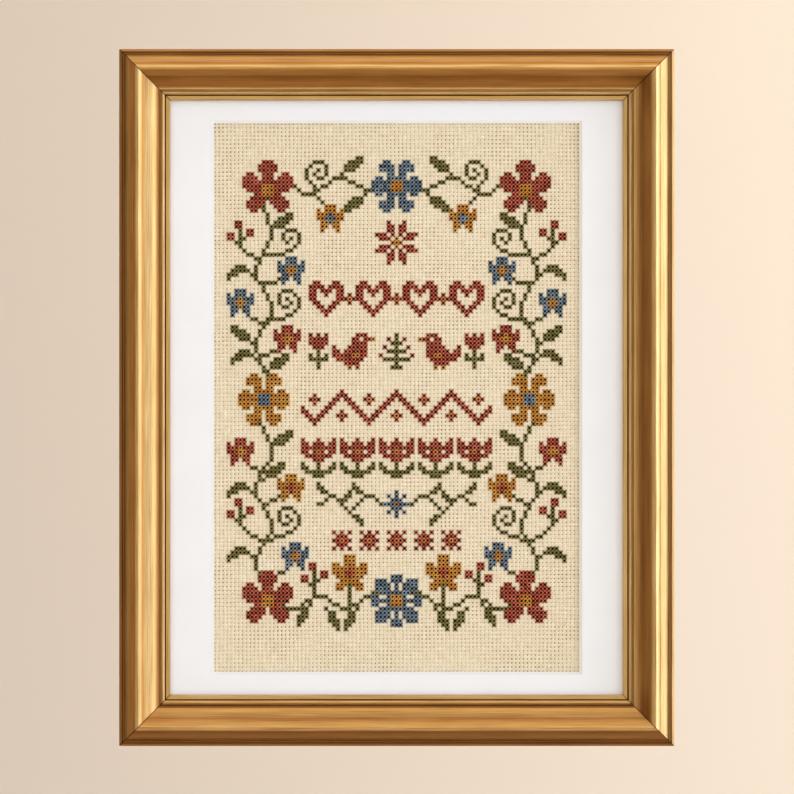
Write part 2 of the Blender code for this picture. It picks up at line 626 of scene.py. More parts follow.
# %% The lattice of holes
LATTICE_COLUMNS = COLUMNS + 2
LATTICE_ROWS = ROWS + 2
PITCH_ACROSS = 1.785 * MM
PITCH_UP = 1.840 * MM
WANDER = 0.16 * MM
WANDER_LENGTH = 26.0 * MM
LINE_SLIP = 0.45
LINE_STEP = 0.9


def lattice_place(column_line, row_line):
    """The x and z of a point of the lattice, which may lie between its lines."""
    x = (column_line - LATTICE_COLUMNS / 2) * PITCH_ACROSS
    z = (row_line - LATTICE_ROWS / 2) * PITCH_UP
    spot = Vector((x, z, 0.0)) / WANDER_LENGTH
    spot_up = spot + Vector((0.0, 0.0, 9.0))
    column_spot = Vector((column_line * LINE_STEP, 0.0, 3.0))
    row_spot = Vector((0.0, row_line * LINE_STEP, 7.0))
    x += WANDER * (noise.noise(spot) + LINE_SLIP * noise.noise(column_spot))
    z += WANDER * (noise.noise(spot_up) + LINE_SLIP * noise.noise(row_spot))
    return CENTRE.x + x, CENTRE.z + z


print("holes:", (LATTICE_COLUMNS - 1) * (LATTICE_ROWS - 1))

# %% [markdown]
# ## The holes
#
# A weaver's tension is uneven, so the holes are wider in some patches than in others, and differ
# a little by chance. The inside of a hole is painted dark, as painted shade, and this shade also
# changes with the patch and by chance. HOLE_WIDTHS and the shade list after it give the middle
# value, how much it changes with the patch and how much by chance. A hole that the needle has used
# is spread wide and painted nearly black, as painted shade. A stitched square is tinted with its
# thread's colour: loose fibres, with painted shade and painted light reflected from the thread.

# %% Holes and loose fibres
random.seed(14)
HOLE_HALF = 0.31 * MM
HOLE_DEPTH = 0.70 * MM
HOLE_WIDTHS = (0.95, 0.45, 0.16)
# The darkness inside a hole is painted shade.
HOLE_PAINTED_SHADE = (0.76, 0.5, 0.15)
LEAST_HOLE_PAINTED_SHADE = 0.4
PATCH_SQUARES = 7.0
NEEDLE_SPREAD = 1.1
# A used hole is painted nearly black: painted shade.
USED_HOLE_PAINTED_SHADE = "#0A0402"
# A stitched square takes its thread's tint: loose fibres, with painted shade and painted light
# reflected from the thread.
FUZZ_AND_SHADE_COVER = 0.8
FUZZ_AND_SHADE_COLOURS = {
    "brick_red": "#DB8466", "steel_blue": "#94A5B0", "ochre": "#E4AA54", "olive": "#8F8548",
}


def is_used(hole):
    """Whether one of the four squares round a hole is stitched."""
    column, row = hole
    return any((column - across, row - up) in chart for across in (1, 2) for up in (1, 2))


def uneven(middle, by_patch, by_chance, patch):
    """A value that changes from patch to patch of the cloth, and a little by chance."""
    return middle + by_patch * patch + random.uniform(-by_chance, by_chance)


def hole_facts():
    """For each hole: how wide it is, and how dark its painted shade is inside."""
    facts = {}
    for column in range(1, LATTICE_COLUMNS):
        for row in range(1, LATTICE_ROWS):
            spot = Vector((column / PATCH_SQUARES, row / PATCH_SQUARES, 21.0))
            patch = noise.noise(spot)
            width = uneven(*HOLE_WIDTHS, patch)
            dark = min(max(uneven(*HOLE_PAINTED_SHADE, patch), LEAST_HOLE_PAINTED_SHADE), 1.0)
            facts[column, row] = (NEEDLE_SPREAD if is_used((column, row)) else width, dark)
    return facts


def fuzz_and_shade_over(square_column, square_row):
    """The tint of a stitched square, loose fibres with painted shade and painted reflected light,
    with how much it covers.
    """
    thread = chart.get((square_column - 1, square_row - 1))
    return (*linear(FUZZ_AND_SHADE_COLOURS[thread])[:3], FUZZ_AND_SHADE_COVER) if thread else (0.0, 0.0, 0.0, 0.0)


# The tint counted here is loose fibres, with painted shade and painted reflected light.
print("squares tinted by loose fibres:", len(chart))

# %% [markdown]
# ## The cloth
#
# Even-weave cotton looks like a lattice of small cushions: each square is a block of threads,
# with a furrow round it and a pit at each corner. A grid with two kinds of columns, wide ones
# for the squares and narrow ones for the furrows between them, has all the points that this
# needs. Poking a face puts a point at its middle, so each square is raised a little there, and
# each crossing of two furrows becomes a pit. The rim is then extruded outwards to the edge of
# the sheet and backwards to its thickness, and the open back is filled.

# %% Cloth mesh
CUSHION_RISE = 0.03 * MM
CELLS_ACROSS = 2 * LATTICE_COLUMNS - 1
CELLS_UP = 2 * LATTICE_ROWS - 1


def corner_place(column, row, holes):
    """Where a corner of a square lies in the lattice, drawn back from the middle of its hole."""
    square_column, is_right = divmod(column, 2)
    square_row, is_top = divmod(row, 2)
    hole = (square_column + is_right, square_row + is_top)
    width, _ = holes.get(hole, (1.0, 0.0))
    return (
        hole[0] + (1 - 2 * is_right) * width * HOLE_HALF / PITCH_ACROSS,
        hole[1] + (1 - 2 * is_top) * width * HOLE_HALF / PITCH_UP,
    )


def shape_weave(form):
    """Turns a plain grid into the weave. Returns each point's place in the lattice."""
    pit = form.verts.layers.float.new("pit")
    fuzz_and_shade = form.verts.layers.float_color.new("fuzz_and_shade")
    holes = hole_facts()
    poked = []
    for face in form.faces:
        middle = face.calc_center_median()
        column = int((middle.x + 0.5) * CELLS_ACROSS)
        row = int((middle.y + 0.5) * CELLS_UP)
        if column % 2 == row % 2:
            poked.append(face)
    corners = set(form.verts)
    bmesh.ops.poke(form, faces=poked)
    lattice = {}
    for vert in form.verts:
        column = (vert.co.x + 0.5) * CELLS_ACROSS
        row = (vert.co.y + 0.5) * CELLS_UP
        place = (round(column + 0.5) / 2, round(row + 0.5) / 2)
        if vert in corners:
            rise = 0.0
            place = corner_place(round(column), round(row), holes)
            # The corners and middle of a stitched square take its thread's tint: fibres, painted
            # shade and reflected light.
            vert[fuzz_and_shade] = fuzz_and_shade_over(round(column) // 2, round(row) // 2)
        elif int(column) % 2 == 0:
            rise = CUSHION_RISE
            vert[fuzz_and_shade] = fuzz_and_shade_over(int(place[0]), int(place[1]))
        else:
            rise = -HOLE_DEPTH
            # A used hole is painted nearly black, and any other hole's pit is painted darker:
            # painted shade.
            if is_used(place):
                vert[fuzz_and_shade] = linear(USED_HOLE_PAINTED_SHADE)
            else:
                vert[pit] = holes[place][1]
        x, z = lattice_place(*place)
        vert.co = (x, CLOTH_FRONT - rise, z)
        lattice[vert] = place
    return lattice


def add_rim(form, lattice):
    """Extrudes the weave to the edge of the sheet and to its thickness, and closes the back."""
    for vert in verts_in(bmesh.ops.extrude_edge_only(form, edges=open_edges(form))["geom"]):
        others = [edge.other_vert(vert) for edge in vert.link_edges]
        column, row = next(lattice[other] for other in others if other in lattice)
        if column < 0.5:
            vert.co.x = cloth_low.x
        elif column > LATTICE_COLUMNS - 0.5:
            vert.co.x = cloth_high.x
        if row < 0.5:
            vert.co.z = cloth_low.z
        elif row > LATTICE_ROWS - 0.5:
            vert.co.z = cloth_high.z
    back = verts_in(bmesh.ops.extrude_edge_only(form, edges=open_edges(form))["geom"])
    bmesh.ops.translate(form, verts=back, vec=(0.0, CLOTH_THICKNESS, 0.0))
    bmesh.ops.contextual_create(form, geom=open_edges(form))


def cloth_mesh():
    form = bmesh.new()
    bmesh.ops.create_grid(form, x_segments=CELLS_ACROSS, y_segments=CELLS_UP, size=0.5)
    weave = form.loops.layers.uv.new("weave")
    lattice = shape_weave(form)
    add_rim(form, lattice)
    bmesh.ops.recalc_face_normals(form, faces=form.faces)
    for face in form.faces:
        face.smooth = len(face.verts) < 5
        for loop in face.loops:
            place = loop.vert.co - CENTRE
            loop[weave].uv = lattice.get(loop.vert, (
                place.x / PITCH_ACROSS + LATTICE_COLUMNS / 2, place.z / PITCH_UP + LATTICE_ROWS / 2
            ))
    return form


# %% [markdown]
# ## Even-weave cotton
#
# The cloth is undyed cotton, woven in blocks, and washed matt: it has no gloss at all. Four
# threads cross four in each square. A thread is only about a pixel wide here, so the pattern
# shows as a fine tooth and not as lines. The yarn's slubs give faint streaks both ways, about
# half a millimetre wide and five long. The pits are painted browner and darker: painted shade,
# warm from light that has bounced off yarn. The map counts squares, which are 1.8 mm wide, so a
# scale of 4 makes streaks a quarter of a square wide.

# %% Cotton material
THREADS_PER_SQUARE = 4
SLUB_SCALES = (4.0, 0.35)
# How strongly, and in what colour, the pits are painted: painted shade.
PIT_SHADE_GAIN = 2.2
PIT_SHADE_COLOUR = "#9A7736"


def cotton_material():
    material, add, shader = new_material("cream_even_weave_cotton")
    lay = add("UVMap", uv_map="weave")
    split = add("SeparateXYZ", {0: lay})
    ridges = []
    for axis in ("X", "Y"):
        turns = add(
            "Math", {0: split.outputs[axis], 1: THREADS_PER_SQUARE / 2},
            operation="MULTIPLY",
        )
        ridges.append(add("Math", {0: turns, 1: 0.5}, operation="PINGPONG"))
    over = add("TexChecker", {"Vector": lay, "Scale": THREADS_PER_SQUARE})
    tooth = add("Mix", {0: over.outputs["Fac"], 2: ridges[0], 3: ridges[1]})
    slubs = streaks_on(lay, SLUB_SCALES, 3.0)
    picks = streaks_on(lay, SLUB_SCALES[::-1], 3.0)
    both = add("Mix", {0: 0.5, 2: slubs, 3: picks})
    yarn = add("ValToRGB", {"Fac": both}, stops={0.36: "#E0CCA4", 0.5: "#ECDAB7", 0.64: "#F6E9CE"})
    # The pits are painted browner and darker: painted shade.
    depth = add("Attribute", attribute_name="pit").outputs["Fac"]
    pit = add("Math", {0: depth, 1: PIT_SHADE_GAIN}, operation="MULTIPLY", use_clamp=True)
    # A stitched square takes its thread's tint, and a used hole its black: painted shade and
    # reflected light, with loose fibres.
    fuzz_and_shade = add("Attribute", attribute_name="fuzz_and_shade").outputs
    yarn_fuzz_and_shade = add("Mix", {0: fuzz_and_shade["Alpha"], 6: yarn, 7: fuzz_and_shade["Color"]}, data_type="RGBA")
    pit_shaded = add("Mix", {0: pit, 6: yarn_fuzz_and_shade.outputs[2], 7: linear(PIT_SHADE_COLOUR)}, data_type="RGBA")
    height = add("Math", {0: tooth, 1: slubs}, operation="ADD")
    bump = add("Bump", {"Height": height, "Strength": 0.4, "Distance": 0.12 * MM})
    set_inputs(shader, {
        "Base Color": pit_shaded.outputs[2], "Normal": bump,
        "Roughness": 0.92, "Specular IOR Level": 0.0,
    })
    return material


cloth = make_object("even_weave_cloth", cloth_mesh(), [cotton_material()])
print("cloth triangles:", triangles(cloth))

# %% [markdown]
# ## One cross
#
# A cross is two legs, and each leg is two strands of cotton side by side. A strand comes up out
# of one hole, lies over the cloth and dives into the hole across the square; the second leg also
# climbs over the first. A strand starts as a small disc, which is extruded ring by ring. Each
# matrix says where the next ring goes, how it leans and how thick the strand is there. Four
# versions with small differences are enough for the eye not to find a repeat.

# %% Strands and crosses
LEG = math.hypot(PITCH_ACROSS, PITCH_UP) / 2
LEG_ANGLE = math.atan2(PITCH_UP, PITCH_ACROSS)
STRAND_HALF_WIDTH = 0.20 * MM
STRAND_HALF_HEIGHT = 0.18 * MM
STRAND_APART = 0.16 * MM
UNDER_LEG_RISES = (-0.34, 0.14, 0.19, 0.14, -0.34)
OVER_LEG_RISES = (-0.34, 0.30, 0.52, 0.30, -0.34)
RING_PLACES = (-1.0, -0.66, 0.0, 0.66, 1.0)
RING_LEANS = (-62, -24, 0, 24, 62)
RING_SIZES = (0.45, 0.92, 1.0, 0.92, 0.45)
PLUMPNESS = (0.92, 1.08)
SLIP = 0.04
LIFT = 0.02
VARIANTS = 4


def ring_matrices(rises, side):
    """Where a strand's rings stand, in coordinates of along the leg, aside of it, and rise."""
    stand = Matrix(((0, 0, 1, 0), (1, 0, 0, 0), (0, 1, 0, 0), (0, 0, 0, 1)))
    plump = random.uniform(*PLUMPNESS)
    slip = random.uniform(-SLIP, SLIP) * MM
    matrices = []
    for place, lean, size, rise in zip(RING_PLACES, RING_LEANS, RING_SIZES, rises):
        aside = side * STRAND_APART * size + slip * (1 - abs(place))
        lift = random.uniform(-LIFT, LIFT) * MM * (1 - abs(place))
        half_sizes = (STRAND_HALF_WIDTH * size * plump, STRAND_HALF_HEIGHT * size * plump)
        matrices.append(
            Matrix.Translation((place * LEG, aside, rise * MM + lift))
            @ Matrix.Rotation(math.radians(lean), 4, "Y") @ stand
            @ Matrix.Diagonal((*half_sizes, 1, 1))
        )
    return matrices


def add_strand(form, matrices, to_frame):
    """Extrudes a disc through the rings, maps it along and across, and puts it in its place."""
    lay = form.loops.layers.uv.verify()
    first = bmesh.ops.create_circle(form, cap_ends=True, segments=4, radius=1.0, matrix=matrices[0])
    verts = list(first["verts"])
    cap = verts[0].link_faces[0]
    for before, after in zip(matrices, matrices[1:]):
        made = bmesh.ops.extrude_face_region(form, geom=[cap])["geom"]
        cap = next(part for part in made if isinstance(part, bmesh.types.BMFace))
        bmesh.ops.transform(form, matrix=after @ before.inverted(), verts=list(cap.verts))
        verts += cap.verts
    for face in {face for vert in verts for face in vert.link_faces}:
        for loop in face.loops:
            place = loop.vert.co
            loop[lay].uv = (place.x / MM, (place.y + place.z) / MM)
    bmesh.ops.transform(form, matrix=to_frame, verts=verts)


def make_cross(number):
    form = bmesh.new()
    form.loops.layers.uv.new("strand")
    for rises, angle in ((UNDER_LEG_RISES, LEG_ANGLE), (OVER_LEG_RISES, math.pi - LEG_ANGLE)):
        to_frame = Matrix.Rotation(-angle, 4, "Y") @ Matrix.Rotation(math.radians(90), 4, "X")
        for side in (-1, 1):
            add_strand(form, ring_matrices(rises, side), to_frame)
    bmesh.ops.recalc_face_normals(form, faces=form.faces)
    for face in form.faces:
        face.smooth = True
    return make_object(f"cross_{number}", form, [])


crosses = bpy.data.collections.new("crosses")
for number in range(VARIANTS):
    cross = make_cross(number)
    bpy.context.scene.collection.objects.unlink(cross)
    crosses.objects.link(cross)
print("triangles in a cross:", triangles(crosses.objects[0]))

# %% [markdown]
# ## Sewing
#
# The chart gives a point for each stitch, with its version, its small turn, its size and its
# shade as attributes. Geometry Nodes puts a cross on each point and makes them real, so a piece
# is one plain mesh in the end. The red is sewn as two pieces, the border and the rows, only to
# keep each mesh light.

# %% Geometry nodes that sew
def sewing_nodes():
    tree = bpy.data.node_groups.new("sew_crosses", "GeometryNodeTree")
    add = partial(add_node, tree, "GeometryNode")
    for in_out in ("INPUT", "OUTPUT"):
        tree.interface.new_socket(name="Geometry", in_out=in_out, socket_type="NodeSocketGeometry")
    points = add_node(tree, "NodeGroup", "Input")
    versions = add("CollectionInfo", {
        "Collection": crosses, "Separate Children": True, "Reset Children": True,
    })
    found = {}
    for name, kind in (("version", "INT"), ("turn", "FLOAT_VECTOR"), ("size", "FLOAT")):
        found[name] = add("InputNamedAttribute", {"Name": name}, data_type=kind)
    placed = add("InstanceOnPoints", {
        "Points": points, "Instance": versions, "Pick Instance": True,
        "Instance Index": found["version"], "Rotation": found["turn"], "Scale": found["size"],
    })
    real = add("RealizeInstances", {"Geometry": placed})
    add_node(tree, "NodeGroup", "Output", {"Geometry": real})
    return tree


# %% Sew a piece
TURN_SPREAD = math.radians(2.2)
SIZE_SPREAD = 0.025
SHADE_SPREAD = 0.2
sewing = sewing_nodes()


def sew(name, squares, material):
    """A piece with a cross on each of these squares of the chart."""
    form = bmesh.new()
    version = form.verts.layers.int.new("version")
    turn = form.verts.layers.float_vector.new("turn")
    size = form.verts.layers.float.new("size")
    shade = form.verts.layers.float.new("shade")
    for column, row in squares:
        x, z = lattice_place(column + 1.5, row + 1.5)
        point = form.verts.new((x, CLOTH_FRONT, z))
        point[version] = random.randrange(VARIANTS)
        point[turn] = (0.0, random.gauss(0.0, TURN_SPREAD), 0.0)
        point[size] = random.gauss(1.0, SIZE_SPREAD)
        point[shade] = min(max(random.gauss(0.5, SHADE_SPREAD), 0.0), 1.0)
    points = make_object(name + "_points", form, [])
    points.modifiers.new("sew", "NODES").node_group = sewing
    depsgraph = bpy.context.evaluated_depsgraph_get()
    mesh = bpy.data.meshes.new_from_object(points.evaluated_get(depsgraph))
    bpy.data.objects.remove(points)
    mesh.name = name
    mesh.materials.clear()
    mesh.materials.append(material)
    item = add_object(name, mesh)
    print(name, "stitches:", len(squares), "triangles:", triangles(item))
    return item


# %% [markdown]
# ## Stranded cotton
#
# Embroidery thread is mercerised cotton: the fibre is swollen in lye, which gives it a soft
# lustre, so it is smoother than the cloth below. Each strand is two plies twisted together, with
# a turn about every 1.4 mm, and its fibres slant with the twist. The dye takes unevenly, so the
# shade changes a little from stitch to stitch. Where the legs cross, and where a strand tucks
# into its hole, the thread is painted nearly black: painted shade. The four colours of a thread
# are this painted shade, and its dye from dark to light.

# %% Thread material
PLY_TURN = 1.4
FIBRE_LENGTH = 0.8
FIBRE_WIDTH = 0.09
FIBRE_SLANT = math.radians(20)
CROSSING_START = 0.38
CROSSING_END = 0.62
TUCK_START = 0.68 * LEG / MM
TUCK_END = 0.90 * LEG / MM
# The first colour of each thread is the painted shade at its crossing and tuck.
THREAD_COLOURS = {
    "brick_red": ("#140100", "#98270F", "#C24326", "#EE8460"),
    "steel_blue": ("#000102", "#485D6C", "#6D8494", "#AEC0CB"),
    "ochre": ("#1C0A00", "#C87612", "#EC9E28", "#FFC85E"),
    "olive": ("#080600", "#6A6022", "#8A7F36", "#B0A660"),
}


def thread_material(name, painted_shade_colour, dark, middle, light):
    material, add, shader = new_material(name)
    lay = add("UVMap", uv_map="strand")
    along, across, _ = add("SeparateXYZ", {0: lay}).outputs
    slant = add("Math", {0: along, 1: across}, operation="ADD")
    turns = add("Math", {0: slant, 1: math.tau / PLY_TURN * 2}, operation="MULTIPLY")
    plies = add("Math", {0: turns}, operation="SINE")
    fibre_places = add(
        "Mapping", {
            "Vector": lay, "Rotation": (0.0, 0.0, FIBRE_SLANT),
            "Scale": (FIBRE_LENGTH, FIBRE_WIDTH, 1.0),
        },
        vector_type="TEXTURE",
    )
    fibres = add("TexNoise", {"Vector": fibre_places, "Scale": 1.0, "Detail": 2.0})
    shade = add("Attribute", attribute_name="shade").outputs["Fac"]
    tone = add("Mix", {0: 0.4, 2: shade, 3: fibres})
    dye = add("ValToRGB", {"Fac": tone}, stops={0.25: dark, 0.5: middle, 0.75: light})
    # The crossing and the tuck are painted nearly black: painted shade.
    from_middle = add("Math", {0: along}, operation="ABSOLUTE")
    crossing = add("MapRange", {
        "Value": from_middle, "From Min": CROSSING_START, "From Max": CROSSING_END,
        "To Min": 1.0, "To Max": 0.0,
    })
    tuck = add("MapRange", {
        "Value": from_middle, "From Min": TUCK_START, "From Max": TUCK_END,
    })
    painted_shade_share = add("Math", {0: crossing, 1: tuck}, operation="MAXIMUM")
    colour = add("Mix", {0: painted_shade_share, 6: dye, 7: linear(painted_shade_colour)}, data_type="RGBA")
    height = add("Math", {0: plies, 1: 0.3, 2: fibres}, operation="MULTIPLY_ADD")
    bump = add("Bump", {"Height": height, "Strength": 0.6, "Distance": 0.06 * MM})
    set_inputs(shader, {
        "Base Color": colour.outputs[2], "Normal": bump, "Roughness": 0.55,
        "Specular IOR Level": 0.06, "Sheen Weight": 0.04, "Sheen Roughness": 0.4,
    })
    return material


threads = {
    name: thread_material(name + "_stranded_cotton", *colours)
    for name, colours in THREAD_COLOURS.items()
}
print("threads:", ", ".join(threads))

# %% Sew the pieces
ROWS_LEFT = 22
ROWS_BOTTOM = 28
ROWS_TOP = 112


def is_in_rows(square):
    column, row = square
    return ROWS_LEFT <= column < COLUMNS - ROWS_LEFT and ROWS_BOTTOM < row < ROWS_TOP


stitches = []
for thread, material in threads.items():
    squares = sorted(square for square, found in chart.items() if found == thread)
    parts = {thread: squares}
    if thread == "brick_red":
        parts = {
            "brick_red_border": [square for square in squares if not is_in_rows(square)],
            "brick_red_rows": [square for square in squares if is_in_rows(square)],
        }
    for name, part in parts.items():
        piece = sew(name + "_stitches", part, material)
        stitches.append(piece)
for cross in list(crosses.objects):
    bpy.data.objects.remove(cross)
bpy.data.collections.remove(crosses)

# %% [markdown]
# ## The moulding
#
# A frame maker cuts four lengths from one stick of shaped and gilded wood, each with a 45 degree
# mitre at both ends. The script does the same: a section is drawn, extruded to a length, and cut
# at both ends with a plane. Its numbers, in millimetres, start from the solid's. It has more
# points on its curves, and its lines are moved by up to 0.6 mm to where they show.
#
# A stain value rides along with each point, because the finisher's brown glaze stays in the
# hollows when it is wiped off. Each rail has its own depths: one for its outer edge, two for its
# slope, from the foot up, and a list for its cove, with pairs of a share of the way across it and
# the depth there. Where they differ from rail to rail they are painted shade: a surface that faces
# away from the lamps takes more than the same surface on a rail that faces them.

# %% The moulding's sizes, glaze and painted shade
RAIL_WIDTH = 23.3
LIP_WIDTH = 5.0
LIP_BACK_RISE = 8.4
BACK_FACE_WIDTH = RAIL_WIDTH - LIP_WIDTH
SIDE_RISE = 11.4
ROUNDING = 1.2
STEP_DEPTH = 0.7
STEP_RISE = SIDE_RISE + ROUNDING - STEP_DEPTH
REED_RUN = 1.95
REED_RADIUS = 0.28
LINE_WIDTH = 0.3
BEVEL_START = (2.65, 12.1)
BEVEL_EDGE = (0.3, 0.36)
BEVEL_END = (6.2, 16.2)
LEDGE = (0.25, 0.05)
CREST = (8.9, 18.4)
COVE_BOTTOM = (17.65, 10.4)
COVE_STRAIGHTNESS = 0.5
COVE_END_RUN = 18.3
COVE_FOOT_RISE = 10.0
BEAD_CENTRE = (19.85, 10.3)
BEAD_RADIUS = 0.95
QUIRK_RISE = 9.25
LIP_START_RUN = 21.3
LIP_FRONT_RISE = 10.3
LIP_ROUNDING = 0.4
DEEP_STAIN = 1.0
STEP_STAIN = 0.7
EDGE_STAIN = 0.1
LIP_STAIN = 0.05
BACK_STAIN = 0.3
CREST_FADE = (2.8, 6.0)
# Per rail these depths are glaze and painted shade.
OUTER_GLAZE_AND_SHADE = {"bottom": 0.53, "left": 0.54, "top": 0.46, "right": 0.25}
SLOPE_GLAZE_AND_SHADE = {
    "bottom": (0.42, 0.58), "left": (0.1, 0.4), "top": (0.2, 0.35), "right": (0.1, 0.2),
}
COVE_GLAZE_AND_SHADE = {
    "bottom": (
        (0.0, 0.0), (0.1, 0.24), (0.35, 0.25), (0.45, 0.38), (0.55, 0.12), (0.93, 0.2), (1.0, 0.6),
    ),
    "left": (
        (0.0, 0.0), (0.1, 0.1), (0.22, 0.5), (0.38, 0.15), (0.5, 0.0), (0.78, 0.05), (0.92, 0.38),
        (1.0, 0.35),
    ),
    "top": (
        (0.0, 0.0), (0.12, 0.42), (0.35, 0.4), (0.42, 0.55), (0.75, 0.38), (0.88, 0.48),
        (0.95, 0.4), (1.0, 0.0),
    ),
    "right": (
        (0.0, 0.0), (0.12, 0.08), (0.22, 0.45), (0.5, 0.48), (0.6, 0.55), (0.85, 0.3), (1.0, 0.15),
    ),
}
print("moulding's width and crest in mm:", RAIL_WIDTH, CREST[1])

# %% The moulding's section
def arc(centre, radius, start, end, steps, glaze_and_shade):
    """Points on an arc. 0 degrees is towards the picture and 90 is forwards."""
    points = []
    for step in range(steps + 1):
        angle = math.radians(start + (end - start) * step / steps)
        run = centre[0] + radius * math.cos(angle)
        points.append((run, centre[1] + radius * math.sin(angle), glaze_and_shade))
    return points


def tone_at(share, tones):
    """The depth of glaze and painted shade at a share of the hollow, between the two nearest given
    depths.
    """
    for (start, first), (end, last) in zip(tones, tones[1:]):
        if share <= end:
            return first + (last - first) * (share - start) / (end - start)
    return tones[-1][1]


def crest_points(tone, steps=16):
    """The rise from the slope to the crest, where the slope's glaze and painted shade thin out."""
    start = (BEVEL_END[0] + LEDGE[0], BEVEL_END[1] + LEDGE[1])
    points = []
    for step in range(steps):
        share = step / steps
        run = start[0] + (CREST[0] - start[0]) * share
        rise = start[1] + (CREST[1] - start[1]) * math.sin(math.pi / 2 * share)
        fade = min(max(CREST_FADE[0] - CREST_FADE[1] * share, 0.0), 1.0)
        points.append((run, rise, tone * fade))
    return points


def cove_points(tones, steps=64):
    """The long S from the crest into the cove, part cosine wave and part straight line."""
    points = []
    for step in range(steps + 1):
        share = step / steps * (COVE_END_RUN - CREST[0]) / (COVE_BOTTOM[0] - CREST[0])
        run = CREST[0] + (COVE_BOTTOM[0] - CREST[0]) * share
        straight = min(share, 1.0)
        wave = (1 - math.cos(math.pi * straight)) / 2
        drop = wave + (straight - wave) * COVE_STRAIGHTNESS
        rise = CREST[1] + (COVE_BOTTOM[1] - CREST[1]) * drop
        points.append((run, rise, tone_at(share, tones)))
    return points


def moulding_section(outer_tone, slope_tones, cove_tones):
    """The section as (run, rise, glaze and painted shade), from the outer back corner round to the
    rebate.
    """
    reed_centre = (REED_RUN, STEP_RISE + REED_RADIUS / 2)
    lip_centre = (RAIL_WIDTH - LIP_ROUNDING, LIP_FRONT_RISE - LIP_ROUNDING)
    return [
        (0.0, 0.0, BACK_STAIN),
        *arc((ROUNDING, SIDE_RISE), ROUNDING, 180, 90, 8, outer_tone),
        (ROUNDING, STEP_RISE, DEEP_STAIN),
        *arc(reed_centre, REED_RADIUS, 210, -30, 8, outer_tone),
        (BEVEL_START[0] - LINE_WIDTH, STEP_RISE, STEP_STAIN),
        (*BEVEL_START, EDGE_STAIN),
        (BEVEL_START[0] + BEVEL_EDGE[0], BEVEL_START[1] + BEVEL_EDGE[1], slope_tones[0]),
        (*BEVEL_END, slope_tones[1]),
        *crest_points(slope_tones[1]),
        *cove_points(cove_tones),
        (COVE_END_RUN + LINE_WIDTH, COVE_FOOT_RISE, cove_tones[-1][1]),
        *arc(BEAD_CENTRE, BEAD_RADIUS, 190, -20, 18, 0.0),
        (BEAD_CENTRE[0] + BEAD_RADIUS, QUIRK_RISE, DEEP_STAIN),
        (LIP_START_RUN - LINE_WIDTH / 2, QUIRK_RISE, DEEP_STAIN),
        (LIP_START_RUN, LIP_FRONT_RISE, LIP_STAIN),
        *arc(lip_centre, LIP_ROUNDING, 90, 0, 6, 0.0),
        (RAIL_WIDTH, LIP_BACK_RISE, BACK_STAIN),
        (BACK_FACE_WIDTH, LIP_BACK_RISE, BACK_STAIN),
        (BACK_FACE_WIDTH, 0.0, BACK_STAIN),
    ]


SECTIONS = {
    side: moulding_section(OUTER_GLAZE_AND_SHADE[side], SLOPE_GLAZE_AND_SHADE[side], COVE_GLAZE_AND_SHADE[side])
    for side in OUTER_GLAZE_AND_SHADE
}
print("points in a section:", {side: len(section) for side, section in SECTIONS.items()})

# %% [markdown]
# Each rail gets a map for its finish: one way runs along the rail, the other follows the section
# round. The joint gap is a tenth of a millimetre. Glaze also stays in the joint, so an extra ring
# of points is cut a fifth of a millimetre from each end, and only the end itself is stained.

# %% Rails
MITRE_GAP = 0.10 * MM
MITRE_STAIN = 0.22 * MM
SLACK = 0.01 * MM
GILT, BARE = 0, 1


def cut_mitre(form, corner, normal, glaze_and_shade):
    """Cuts an end off at a corner, with a ring of points just before the cut."""
    for inward, is_cut in ((MITRE_GAP / 2 + MITRE_STAIN, False), (MITRE_GAP / 2, True)):
        cut = bmesh.ops.bisect_plane(
            form, geom=[*form.verts, *form.edges, *form.faces], dist=1e-7,
            plane_co=corner - normal * inward, plane_no=normal, clear_outer=is_cut,
        )["geom_cut"]
    edges = [part for part in cut if isinstance(part, bmesh.types.BMEdge)]
    bmesh.ops.holes_fill(form, edges=edges)
    for vert in verts_in(cut):
        vert[glaze_and_shade] = DEEP_STAIN


def rail_mesh(section, length, reach, angle):
    """A mitred rail. reach is how far its outer side is from the frame's middle."""
    form = bmesh.new()
    lay = form.loops.layers.uv.new("moulding")
    glaze_and_shade = form.verts.layers.float.new("glaze_and_shade")
    round_section = form.verts.layers.float.new("round_section")
    outline = []
    travelled = 0.0
    for number, (run, rise, value) in enumerate(section):
        if number:
            travelled += math.dist((run, rise), section[number - 1][:2])
        vert = form.verts.new((-length / 2, -rise * MM, run * MM - reach))
        vert[glaze_and_shade] = value
        vert[round_section] = travelled
        outline.append(vert)
    sides = [form.edges.new(pair) for pair in zip(outline, outline[1:] + outline[:1])]
    end = bmesh.ops.contextual_create(form, geom=sides)["faces"]
    far_end = verts_in(bmesh.ops.extrude_face_region(form, geom=end)["geom"])
    bmesh.ops.translate(form, verts=far_end, vec=(length, 0.0, 0.0))
    for side in (-1, 1):
        normal = Vector((side, 0.0, 1.0)).normalized()
        cut_mitre(form, Vector((side * length / 2, 0.0, -reach)), normal, glaze_and_shade)
    bmesh.ops.recalc_face_normals(form, faces=form.faces)
    bare_start = BACK_FACE_WIDTH * MM - reach - SLACK
    for face in form.faces:
        middle = face.calc_center_median()
        is_back = face.normal.y > 0.9
        is_inward = abs(face.normal.z - 1) < 0.01 and middle.z > bare_start
        is_rebate = is_inward and middle.y > -LIP_BACK_RISE * MM
        is_end = abs(face.normal.x) > 0.5
        face.material_index = BARE if is_back or is_rebate or is_end else GILT
        face.smooth = True
        for loop in face.loops:
            place = loop.vert.co
            across = (place.z + reach) / MM if is_back else loop.vert[round_section]
            loop[lay].uv = (place.x / MM, across)
    bmesh.ops.rotate(form, verts=form.verts, matrix=Matrix.Rotation(angle, 3, "Y"))
    bmesh.ops.translate(form, verts=form.verts, vec=CENTRE)
    return form


